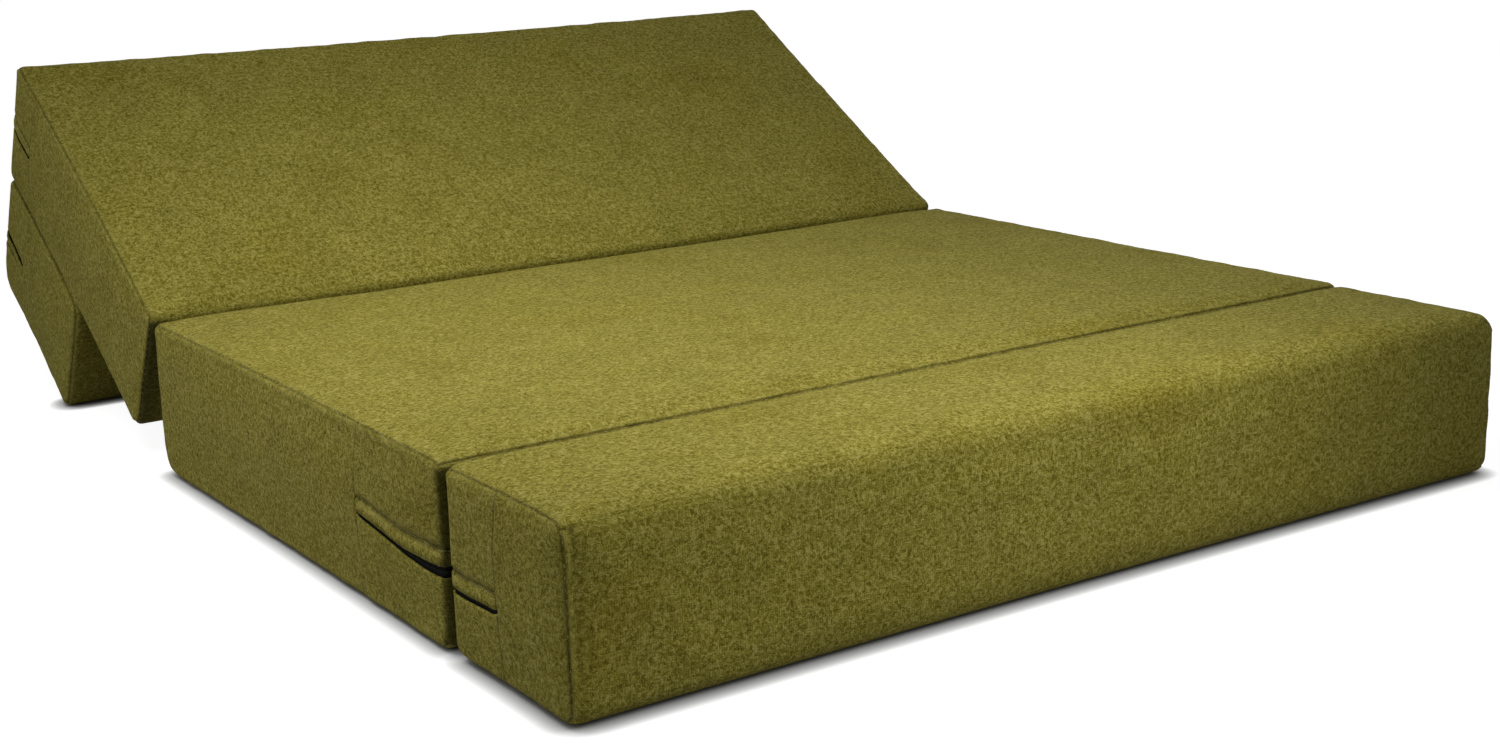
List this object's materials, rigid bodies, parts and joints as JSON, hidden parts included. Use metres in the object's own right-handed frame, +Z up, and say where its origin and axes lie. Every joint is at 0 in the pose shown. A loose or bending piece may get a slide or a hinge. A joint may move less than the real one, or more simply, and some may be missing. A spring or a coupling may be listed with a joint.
{
  "type": "folding foam sofa bed",
  "caption": "Folding foam sofa bed: padded sections in zipped woven covers, joined by fabric hinges, set up as a low sofa with a leaning back.",
  "frame": {"origin": "on the floor, under the middle of the whole sofa bed", "axes": "+X across the bed to the right as one faces its front from behind, +Y from the front edge to the back rest, +Z up"},
  "size_m": [1.2252, 1.6724, 0.4665],
  "materials": {
    "woven_cover": "matte",
    "hinge_cloth": "matte",
    "foam": "matte",
    "zip_tape": "matte",
    "zip_metal": "satin"
  },
  "bodies": {
    "seat": {"seat_cover_wrap": "woven_cover", "seat_end_left": "woven_cover", "seat_end_right": "woven_cover", "seat_placket_upper": "woven_cover", "seat_placket_lower": "woven_cover", "seat_foam_core": "foam", "seat_zip_chain": "zip_tape", "front_hinge_strip": "hinge_cloth", "back_hinge_strip": "hinge_cloth"},
    "front": {"front_cover_wrap": "woven_cover", "front_end_left": "woven_cover", "front_end_right": "woven_cover", "front_placket_upper": "woven_cover", "front_placket_lower": "woven_cover", "front_foam_core": "foam", "front_zip_chain": "zip_tape"},
    "back": {"back_cover_wrap": "woven_cover", "back_end_left": "woven_cover", "back_end_right": "woven_cover", "back_placket_upper": "woven_cover", "back_placket_lower": "woven_cover", "back_foam_core": "foam", "back_zip_chain": "zip_tape", "prop_hinge_strip": "hinge_cloth"},
    "prop": {"prop_cover_wrap": "woven_cover", "prop_end_left": "woven_cover", "prop_end_right": "woven_cover", "prop_placket_upper": "woven_cover", "prop_placket_lower": "woven_cover", "prop_foam_core": "foam", "prop_zip_chain": "zip_tape"},
    "seat_slider": {"seat_zip_slider": "zip_metal"},
    "seat_pull": {"seat_zip_pull": "zip_metal"},
    "front_slider": {"front_zip_slider": "zip_metal"},
    "front_pull": {"front_zip_pull": "zip_metal"},
    "back_slider": {"back_zip_slider": "zip_metal"},
    "back_pull": {"back_zip_pull": "zip_metal"},
    "prop_slider": {"prop_zip_slider": "zip_metal"},
    "prop_pull": {"prop_zip_pull": "zip_metal"}
  },
  "joints": [
    {"name": "front_fold", "type": "hinge", "parent": "seat", "child": "front", "pos_m": [-0.0031, -0.60819, 0.1946], "axis": [-1, 0, 0], "range_deg": [0, 180], "deforming": ["front_hinge_strip"]},
    {"name": "back_fold", "type": "hinge", "parent": "seat", "child": "back", "pos_m": [-0.0031, 0.18081, 0.1946], "axis": [1, 0, 0], "range_deg": [-30.78, 149.22], "deforming": ["back_hinge_strip"]},
    {"name": "prop_fold", "type": "hinge", "parent": "back", "child": "prop", "pos_m": [-0.0031, 0.7543, 0.30849], "axis": [-1, 0, 0], "range_deg": [-180, 0], "deforming": ["prop_hinge_strip"]},
    {"name": "seat_zip_slide", "type": "slide", "parent": "seat", "child": "seat_slider", "axis": [0, -1, 0], "range_m": [0, 0.158]},
    {"name": "seat_pull_turn", "type": "hinge", "parent": "seat_slider", "child": "seat_pull", "pos_m": [0.6102, -0.42419, 0.095], "axis": [0, 0, -1], "range_deg": [0, 170]},
    {"name": "front_zip_slide", "type": "slide", "parent": "front", "child": "front_slider", "axis": [0, 1, 0], "range_m": [0, 0.07]},
    {"name": "front_pull_turn", "type": "hinge", "parent": "front_slider", "child": "front_pull", "pos_m": [0.6102, -0.70419, 0.075], "axis": [0, 0, 1], "range_deg": [0, 170]},
    {"name": "back_zip_slide", "type": "slide", "parent": "back", "child": "back_slider", "axis": [0, 0.8592, 0.5117], "range_m": [0, 0.0625]},
    {"name": "back_pull_turn", "type": "hinge", "parent": "back_slider", "child": "back_pull", "pos_m": [0.6102, 0.63387, 0.3485], "axis": [0, -0.5117, 0.8592], "range_deg": [0, 170]},
    {"name": "prop_zip_slide", "type": "slide", "parent": "prop", "child": "prop_slider", "axis": [0, 0.8592, 0.5117], "range_m": [0, 0.048]},
    {"name": "prop_pull_turn", "type": "hinge", "parent": "prop_slider", "child": "prop_pull", "pos_m": [0.6102, 0.73211, 0.18354], "axis": [0, -0.5117, 0.8592], "range_deg": [0, 170]}
  ]
}
